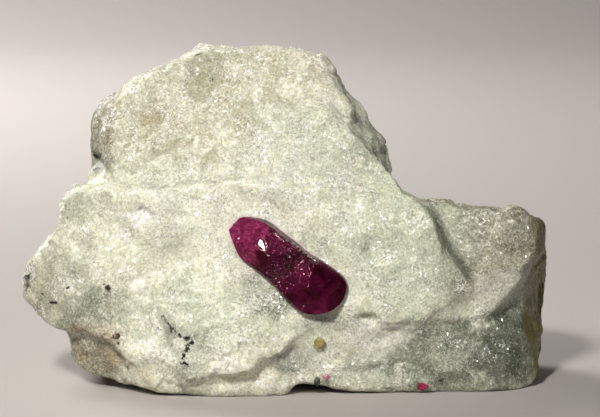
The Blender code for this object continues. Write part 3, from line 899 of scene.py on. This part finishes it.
def add_node(tree, kind, inputs, output=0, **settings):
    """Add a shader node and give back one of its outputs, or the node itself where output is None.

    The kind is its type's name after "ShaderNode". The inputs are values, or other nodes' outputs to
    link, in the order of its sockets or by their names; settings are the node's own properties."""
    node = tree.nodes.new("ShaderNode" + kind)
    for name, value in settings.items():
        setattr(node, name, value)
    for socket, value in inputs.items() if isinstance(inputs, dict) else enumerate(inputs):
        if isinstance(value, bpy.types.NodeSocket):
            tree.links.new(value, node.inputs[socket])
        else:
            node.inputs[socket].default_value = value
    return node if output is None else node.outputs[output]


def new_material(name):
    """An empty node material, add_node for its tree, and the object's own coordinates."""
    material = bpy.data.materials.new(name)
    material.use_nodes = True
    material.node_tree.nodes.clear()
    add = partial(add_node, material.node_tree)
    return material, add, add("TexCoord", {}, "Object")


# Colours laid over the marble in turn: the field that says where, the span of the patchy noise
# over which the colour comes in, its least and greatest share, and the colour
MARBLE_LAYERS = [
    ("glassy", 0.35, 0.6, 0.55, 1, "#687059"), ("weathered", 0.35, 0.65, 0.6, 1, "#6f684e"),
    ("green", 0.3, 0.65, 0.4, 0.9, "#c2cdb0"), ("deep", 0.35, 0.6, 0.7, 1, "#414932"),
    ("grey", 0.35, 0.6, 0.2, 0.8, "#76786a"), ("milk_and_painted_light", 0.3, 0.5, 0.8, 1, "#fffbec"),
    ("ochre", 0.35, 0.6, 0.1, 0.9, "#b0955f"), ("rust", 0.4, 0.55, 0.15, 0.8, "#9a6f4c"),
]
# Thin lines drawn along a distance field: the field, the distances in mm at which the line is
# whole and gone, its greatest share, and the colour. The first two are the pink lip at the ruby,
# the third the grey shadow of the black seam
MARBLE_LINES = [
    ("halo_mm", 0.1, 0.8, 0.08, "#dcbcb6"), ("halo_mm", 0.12, 0.3, 0.6, "#e8c8cc"),
    ("seam_mm", 0.2, 1.8, 0.3, "#8c8d7d"),
]


def marble_material(settings):
    """Sugary calcite marble, broken by hand: waxy grey-green where it is clear, and paler where it is
    broken into sugary crystals, each flat cleavage of which glints on its own."""
    material, add, place = new_material("sugary calcite marble")
    field = {key: add("Attribute", {}, "Fac", attribute_name=key) for key in MARBLE_FIELDS}
    broad = add("TexNoise", {"Vector": place, "Scale": 1 / 0.011, "Detail": 3})
    patches = add("TexNoise", {"Vector": place, "Scale": 1 / 0.0036, "Detail": 6, "Roughness": 0.62,
                               "Distortion": 0.4})
    # Crystals of the sugar, 0.22 mm wide with ragged edges, and the larger grains they belong to. The
    # real ones go down to a tenth of a millimetre, drawn coarser here so that they are still seen
    grains = add("TexVoronoi", {"Vector": place, "Scale": 1 / (settings.grain_width * 0.6)}, None)
    jagged = add("TexNoise", {"Vector": place, "Scale": 1 / 0.0003, "Detail": 1}, "Color")
    jagged = add("VectorMath", [jagged, (0.0007,) * 3, (-0.00035,) * 3], operation="MULTIPLY_ADD")
    jagged = add("VectorMath", [jagged, place], operation="ADD")
    sugar = add("TexVoronoi", {"Vector": jagged, "Scale": 1 / (settings.grain_width * 0.125)}, None)
    fine = add("TexNoise", {"Vector": place, "Scale": 1 / 0.0004, "Detail": 3, "Roughness": 0.8})
    clusters = add("TexNoise", {"Vector": place, "Scale": 1 / 0.0042, "Detail": 3, "Roughness": 0.7})
    # Clear crystals 2 to 3 mm wide with ragged edges, commonest where the rock is glassy
    ragged = add("TexNoise", {"Vector": place, "Scale": 1 / 0.0012, "Detail": 2}, "Color")
    ragged = add("VectorMath", [ragged, (0.0016,) * 3, place], operation="MULTIPLY_ADD")
    crystals = add("TexVoronoi", {"Vector": ragged, "Scale": 1 / 0.0024}, "Color")
    clear = add("SeparateColor", [crystals])
    clear = add("Math", [field["glassy"], 0.3, clear], operation="MULTIPLY_ADD")
    clear = add("MapRange", [clear, 0.8, 0.84])
    # Sugary from 0 to 1: in clusters, less in clear crystals and dark rock, more in milky rock
    for value, loss in ((clear, -0.1), (field["glassy"], -0.05), (field["weathered"], -0.1),
                        (field["deep"], -0.12), (field["milk_and_painted_light"], 0.1)):
        clusters = add("Math", [value, loss, clusters], operation="MULTIPLY_ADD")
    sugary = add("MapRange", [clusters, 0.44, 0.6])

    # The colour is built up from layers, each a share, a colour and how it is laid on
    base = add("Math", [patches, 0.7, broad], operation="MULTIPLY_ADD")
    layers = [(add("MapRange", [base, 0.6, 1.16]), srgb("#c4cab2"), "MIX")]
    clearest = add("MapRange", [field["glassy"], 0, 1, 0.22, 0.65])
    shares = [(sugary, 0.55, "#f1ecd4"), (clear, clearest, "#8f947f")]
    for name, low, high, least, most, hex_colour in MARBLE_LAYERS:
        patchy = add("MapRange", [patches, low, high, least, most])
        shares.append((patchy, field[name], hex_colour))
    for value, most, hex_colour in shares:
        layers.append((add("Math", [value, most], operation="MULTIPLY"), srgb(hex_colour), "MIX"))
    # White flakes, painted glints of single cleavages that also stand for bruised crystals: many in the
    # sugary clusters, a few elsewhere
    sugar_tone = add("SeparateColor", [sugar.outputs["Color"]])
    coarser = add("TexVoronoi", {"Vector": ragged, "Scale": 1 / 0.0005}, "Color")
    coarser = add("SeparateColor", [coarser])
    many = add("MapRange", [sugary, 0, 1, 0.08, 0.9])
    share = add("MapRange", [sugar_tone, 0.66, 0.86, 0, many])
    most = add("MapRange", [sugary, 0, 1, 0.35, 1])
    for cells, rare in ((sugar_tone, 0.93), (coarser, 0.965)):
        flake = add("MapRange", [cells, rare, rare + 0.02, 0, most])
        share = add("Math", [share, flake], operation="MAXIMUM")
    # Thin white strokes along the broken edges of the crystals, partly painted glints, where a noise
    # crosses its middle value
    edges = add("TexNoise", {"Vector": ragged, "Scale": 1 / 0.0008, "Detail": 3, "Roughness": 0.7})
    edges = add("Math", [edges, 0.5], operation="SUBTRACT")
    edges = add("Math", [edges], operation="ABSOLUTE")
    stroke = add("MapRange", [edges, 0.05, 0.015])
    broken = add("MapRange", [fine, 0.43, 0.5])
    whitest = add("MapRange", [sugary, 0, 1, 0.4, 1])
    shallow = add("MapRange", [field["deep"], 0, 1, 1, 0.3])
    for factor in (broken, whitest, shallow):
        stroke = add("Math", [stroke, factor], operation="MULTIPLY")
    share = add("Math", [share, stroke], operation="MAXIMUM")
    layers.append((share, srgb("#fffdf0"), "MIX"))
    # Single grains differ a little in brightness, and painted shade makes the hollows darker than what
    # stands out
    grain_tone = add("SeparateColor", [grains.outputs["Color"]])
    shade = add("MapRange", [grain_tone, 0, 1, 0.97, 1.03])
    darkest = add("MapRange", [sugary, 0, 1, 0.86, 0.64])
    dimmest = add("MapRange", [sugary, 0, 1, 0.72, 0.6])
    for span in ((sugar_tone, 0.08, 0.34, darkest, 1), (fine, 0.34, 0.56, dimmest, 1.1),
                 (field["low"], -1, 1, 1.04, 0.92)):
        shade = add("Math", [shade, add("MapRange", span)], operation="MULTIPLY")
    layers.append((1, add("CombineColor", [shade, shade, shade]), "MULTIPLY"))
    # The old side: brown and olive weathering in upright streaks, its dark tone partly painted shade on
    # the side turned from the key light
    stretched = add("Mapping", {"Vector": place, "Scale": (1, 1, 0.2)})
    streaks = add("TexNoise", {"Vector": stretched, "Scale": 1 / 0.0012, "Detail": 4})
    stain = add("Mix", {0: streaks, 6: srgb("#322c02"), 7: srgb("#7c7018")}, 2, data_type="RGBA")
    share = add("MapRange", [streaks, 0.35, 0.6, 0.6, 1])
    share = add("Math", [share, field["old_side_and_shade"]], operation="MULTIPLY")
    layers.append((share, stain, "MIX"))
    uneven = add("MapRange", [patches, 0.3, 0.55, 0.3, 1])
    for name, near, far, most, hex_colour in MARBLE_LINES:
        share = add("MapRange", [field[name], near, far, most, 0])
        share = add("Math", [share, uneven], operation="MULTIPLY")
        layers.append((share, srgb(hex_colour), "MIX"))
    # The black seam and specks, crumbled by noise
    crumbs = add("TexNoise", {"Vector": place, "Scale": 1 / 0.0006, "Detail": 3, "Roughness": 0.7})
    line = add("Math", [crumbs, -2.4, field["seam_mm"]], operation="MULTIPLY_ADD")
    line = add("MapRange", [line, -1.06, -0.92, 1, 0])
    specks = add("Math", [crumbs, field["dark"]], operation="ADD")
    specks = add("MapRange", [specks, 0.95, 1.15])
    share = add("Math", [line, specks], operation="MAXIMUM")
    layers.append((share, srgb("#1d1c18"), "MIX"))
    colour = srgb("#efebd0")
    for share, over, blend in layers:
        colour = add("Mix", {0: share, 6: colour, 7: over}, 2, data_type="RGBA", blend_type=blend)

    # Cleavages: every cell is a flat plane that leans its own way. The steps of one crystal lean
    # nearly alike, so that they flash together, and they are steep only in the sugary clusters
    luck = add("Math", [sugary, 0.55, sugar_tone], operation="MULTIPLY_ADD")
    lucky = add("MapRange", [luck, 0.74, 0.76])
    shared = add("VectorMath", [crystals, (1.5,) * 3, (-0.75,) * 3], operation="MULTIPLY_ADD")
    height = 0
    for cells, common, least, most in ((grains, (0, 0, 0), 0.07, 0.1), (sugar, shared, 0.05, 0.48)):
        offset = add("VectorMath", [place, cells.outputs["Position"]], operation="SUBTRACT")
        lean = add("VectorMath", [cells.outputs["Color"], (1.4,) * 3, (-0.7,) * 3],
                   operation="MULTIPLY_ADD")
        lean = add("VectorMath", [lean, common], operation="ADD")
        slope = add("VectorMath", [offset, lean], "Value", operation="DOT_PRODUCT")
        tilt = add("MapRange", [lucky, 0, 1, least, most])
        height = add("Math", [slope, tilt, height], operation="MULTIPLY_ADD")
    bump = add("Bump", {"Strength": 1, "Distance": 1, "Height": height})
    # Waxy where it is clear, and glossy on the lucky cleavages and the milky spots
    milky = add("MapRange", [field["milk_and_painted_light"], 0.6, 0.9])
    gloss = add("Math", [lucky, milky], operation="MAXIMUM")
    rough = add("MapRange", [sugary, 0, 1, 0.4, 0.48])
    rough = add("Math", [gloss, -0.26, rough], operation="MULTIPLY_ADD")
    shader = add("BsdfPrincipled", {
        "Base Color": colour, "Roughness": rough, "IOR": 1.58, "Normal": bump,
        "Subsurface Weight": 0.45, "Subsurface Radius": (1, 0.95, 0.75), "Subsurface Scale": 0.001,
    })
    add("OutputMaterial", {"Surface": shader}, None)
    return material


def ruby_material(name, dark, middle, pale):
    """Natural ruby, a corundum crystal as it grew: clear deep red inside, glassy on its flat faces
    and frosted pink where it is etched. Its gloss is tinted by the red light that comes back out."""
    material, add, place = new_material(name)
    field = {key: add("Attribute", {}, "Fac", attribute_name=key) for key in RUBY_FIELDS}
    clouds = add("TexNoise", {"Vector": place, "Scale": 1 / 0.0024, "Detail": 3, "Roughness": 0.5,
                              "Distortion": 0.6})
    mottle = add("TexNoise", {"Vector": place, "Scale": 1 / 0.0005, "Detail": 4, "Roughness": 0.7})
    layers = [(add("MapRange", [clouds, 0.4, 0.68]), middle)]
    # Etched mottling over the tip and the painted glow of the lower front, then pink crust and dark
    # pits along the rough strip
    share = add("MapRange", [mottle, 0.4, 0.64, 0.25, 1.05])
    uneven = add("MapRange", [clouds, 0.35, 0.62, 1.15, 0.55])
    for factor in (uneven, field["pale"]):
        share = add("Math", [share, factor], operation="MULTIPLY")
    layers.append((share, pale))
    for low, high, most, crust in ((0.52, 0.58, 0.9, "#d0a8aa"), (0.53, 0.48, 0.95, "#1c050c")):
        share = add("MapRange", [mottle, low, high, 0, most])
        layers.append((add("Math", [share, field["grime"]], operation="MULTIPLY"), srgb(crust)))
    colour = dark
    for share, over in layers:
        colour = add("Mix", {0: share, 6: colour, 7: over}, 2, data_type="RGBA")
    rough = add("Math", [field["frost"], 0.4, 0.07], operation="MULTIPLY_ADD")
    depth = add("Math", [field["frost"], 0.00012, 0.000003], operation="MULTIPLY_ADD")
    height = add("Math", [mottle, depth], operation="MULTIPLY")
    bump = add("Bump", {"Strength": 1, "Distance": 1, "Height": height})
    shader = add("BsdfPrincipled", {
        "Base Color": colour, "Roughness": rough, "IOR": 1.77, "Specular IOR Level": 0.05,
        "Specular Tint": srgb("#ff8cac"), "Normal": bump, "Transmission Weight": 0.22,
        "Coat Weight": field["gleam"], "Coat Roughness": 0.04,
    })
    inside = add("VolumeAbsorption", {"Color": (0.9, 0.08, 0.25, 1), "Density": 3500})
    add("OutputMaterial", {"Surface": shader, "Volume": inside}, None)
    return material


def mineral_material(name, dark, light, rough, grain):
    """A broken mineral grain: two tones in patches of a given width, glossy as its cleavage is."""
    material, add, place = new_material(name)
    patches = add("TexNoise", {"Vector": place, "Scale": 1 / grain, "Detail": 4})
    share = add("MapRange", [patches, 0.4, 0.65])
    colour = add("Mix", {0: share, 6: dark, 7: light}, 2, data_type="RGBA")
    height = add("Math", [patches, 0.00012], operation="MULTIPLY")
    bump = add("Bump", {"Strength": 1, "Distance": 1, "Height": height})
    shader = add("BsdfPrincipled", {
        "Base Color": colour, "Roughness": rough, "IOR": 1.6, "Normal": bump,
    })
    add("OutputMaterial", {"Surface": shader}, None)
    return material


def plain_material(name, colour):
    """Matt studio paper: even, without gloss, with a very faint tooth."""
    material, add, place = new_material(name)
    tooth = add("TexNoise", {"Vector": place, "Scale": 1 / 0.04, "Detail": 2})
    share = add("MapRange", [tooth, 0, 1, 0, 0.04])
    mixed = add("Mix", {0: share, 6: colour, 7: (0.5, 0.5, 0.5, 1)}, 2, data_type="RGBA")
    shader = add("BsdfPrincipled", {"Base Color": mixed, "Roughness": 0.9})
    add("OutputMaterial", {"Surface": shader}, None)
    return material


# Settings and operators

# What the settings of one kind share
LENGTH = {"unit": "LENGTH", "subtype": "DISTANCE", "precision": 5}
TONE = {"size": 3, "min": 0, "max": 1, "subtype": "COLOR"}


class SpecimenSettings(bpy.types.PropertyGroup):
    """Sizes, colours and lights that a user may change before building."""

    marble_grid: FloatProperty(
        name="Surface grid", description="Width of the quads of the marble's surface",
        default=0.00041, min=0.0003, max=0.002, **LENGTH)
    grain_width: FloatProperty(
        name="Grain width", description="Width of a middling calcite grain",
        default=0.0018, min=0.0005, max=0.006, **LENGTH)
    ruby_buried: FloatProperty(
        name="Buried depth", description="How deep the ruby reaches into the marble",
        default=0.0038, min=0.001, max=0.006, **LENGTH)
    ruby_etching: FloatProperty(
        name="Etching", description="Strength of the etched roughness at the ruby's waist",
        default=1.0, min=0.0, max=2.0, subtype="FACTOR")
    ruby_dark: FloatVectorProperty(
        name="Ruby, deep", description="Colour of the ruby where it is thickest",
        default=srgb("#26000b")[:3], **TONE)
    ruby_middle: FloatVectorProperty(
        name="Ruby, middle", description="Colour of the ruby's clouds",
        default=srgb("#4c0628")[:3], **TONE)
    ruby_pale: FloatVectorProperty(
        name="Ruby, frosted", description="Colour of the ruby's etched tip",
        default=srgb("#a83a68")[:3], **TONE)
    floor_colour: FloatVectorProperty(
        name="Floor", description="Colour of the floor and backdrop",
        default=srgb("#b5aea9")[:3], **TONE)
    key_power: FloatProperty(
        name="Key light", description="Power of the soft light at the upper left",
        default=0.150, min=0.0, max=100.0, unit="POWER")


class SPECIMEN_OT_marble(bpy.types.Operator):
    """Build the block of marble over its solid"""

    bl_idname = "specimen.marble"
    bl_label = "Marble block"

    def execute(self, context):
        settings = context.scene.specimen
        item = build_marble(settings)
        item.data.materials.clear()
        item.data.materials.append(marble_material(settings))
        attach(item, "root")
        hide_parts("marble_matrix")
        return {"FINISHED"}


class SPECIMEN_OT_ruby(bpy.types.Operator):
    """Build the large ruby crystal"""

    bl_idname = "specimen.ruby"
    bl_label = "Ruby crystal"

    def execute(self, context):
        settings = context.scene.specimen
        tones = settings.ruby_dark, settings.ruby_middle, settings.ruby_pale
        item = build_ruby(settings)
        item.data.materials.append(ruby_material("natural ruby", *[(*tone, 1) for tone in tones]))
        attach(item, "root")
        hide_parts("ruby_crystal")
        return {"FINISHED"}


class SPECIMEN_OT_grains(bpy.types.Operator):
    """Build the small grains of ruby, black mineral and mica"""

    bl_idname = "specimen.grains"
    bl_label = "Small grains"

    def execute(self, context):
        minerals = {name: mineral_material(name, srgb(dark), srgb(light), rough, grain)
                    for name, dark, light, rough, grain in MINERALS}
        for seed, node in enumerate(GRAIN_NODES):
            mineral, slot = GRAIN_KINDS.get(node, ("black mineral grain", "black_mineral"))
            item = build_grain(node, 200 + seed)
            item.data.materials.append(minerals[mineral])
            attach(item, "root")
            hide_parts(node)
        return {"FINISHED"}


def aim(item, target):
    """Turn a light or the camera to look at a point."""
    item.rotation_euler = (Vector(target) - item.location).to_track_quat("-Z", "Y").to_euler()


def add_soft_light(name, place, target, width, power, colour, spread):
    """A square area light whose beam is kept to an angle in degrees, as a grid before it does."""
    light = bpy.data.lights.new(name, "AREA")
    light.shape = "SQUARE"
    light.size = width
    light.energy = power
    light.color = colour
    light.spread = math.radians(spread)
    item = new_object(name, light)
    item.location = place
    aim(item, target)


class SPECIMEN_OT_stage(bpy.types.Operator):
    """Build the floor, lights and camera"""

    bl_idname = "specimen.stage"
    bl_label = "Stage"

    def execute(self, context):
        settings = context.scene.specimen
        scene = context.scene
        # The floor runs back flat and then turns up in a quarter circle: a profile carried along X
        bend = np.linspace(0, math.pi / 2, 33)
        flat = np.linspace(-1.2, 0.6, 19)[:-1]
        profile_y = np.concatenate([flat, 0.6 + 0.5 * np.sin(bend), [1.1]])
        profile_z = np.concatenate([np.zeros(len(flat)), 0.5 - 0.5 * np.cos(bend), [1.6]])
        across = np.linspace(-2, 2, 9)
        grid_x, grid_y = np.meshgrid(across, profile_y, indexing="ij")
        points = np.stack([grid_x, grid_y, np.broadcast_to(profile_z, grid_x.shape)], axis=2)
        faces = sheet_faces(len(across) - 1, len(profile_y) - 1)
        floor = mesh_object("floor", points.reshape(-1, 3) / MM, faces)
        shade_smooth(floor)
        floor.data.materials.append(plain_material("studio paper", (*settings.floor_colour, 1)))

        for light in (
            ("key", KEY_PLACE, KEY_TARGET, 0.085, settings.key_power, (1, 0.985, 0.95), 38),
            ("fill", (0.55, -0.6, 0.3), TARGET, 0.5, 0.08, (0.97, 0.98, 1), 36),
            ("backdrop light", (-0.4, 0.4, 0.4), (-0.17, 0.42, 0), 0.35, 3.7, (1, 0.985, 0.98), 130),
        ):
            add_soft_light(*light)
        world = bpy.data.worlds.new("studio")
        scene.world = world
        world.use_nodes = True
        world.node_tree.nodes.clear()
        glow = add_node(world.node_tree, "Background", {"Color": (0.96, 0.97, 1, 1), "Strength": 0.09})
        add_node(world.node_tree, "OutputWorld", {"Surface": glow}, None)
        scene.view_settings.view_transform = "Standard"

        camera = bpy.data.cameras.new("camera")
        camera.sensor_width = SENSOR_WIDTH
        camera.lens = SENSOR_WIDTH * CAMERA_DISTANCE / VIEW_WIDTH
        camera.clip_start = 0.01
        eye = new_object("camera", camera)
        eye.location = camera_place()
        aim(eye, TARGET)
        scene.camera = eye
        return {"FINISHED"}


BUILDERS = (SPECIMEN_OT_marble, SPECIMEN_OT_ruby, SPECIMEN_OT_grains, SPECIMEN_OT_stage)


class SPECIMEN_PT_sidebar(bpy.types.Panel):
    """Panel that lists the settings and the builders"""

    bl_idname = "SPECIMEN_PT_sidebar"
    bl_label = "Ruby on marble"
    bl_space_type = "VIEW_3D"
    bl_region_type = "UI"
    bl_category = "Specimen"

    def draw(self, context):
        settings = context.scene.specimen
        for name in SpecimenSettings.__annotations__:
            self.layout.prop(settings, name)
        for builder in BUILDERS:
            self.layout.operator(builder.bl_idname)


CLASSES = (SpecimenSettings, *BUILDERS, SPECIMEN_PT_sidebar)


def register():
    """Register the classes and hang the settings on the scene."""
    for item in CLASSES:
        bpy.utils.register_class(item)
    bpy.types.Scene.specimen = PointerProperty(type=SpecimenSettings)


def unregister():
    """Take the settings and classes away again."""
    del bpy.types.Scene.specimen
    for item in reversed(CLASSES):
        bpy.utils.unregister_class(item)


def main():
    """Build everything in order."""
    register()
    bpy.ops.specimen.marble()
    bpy.ops.specimen.ruby()
    bpy.ops.specimen.grains()
    bpy.ops.specimen.stage()


if __name__ == "__main__":
    main()
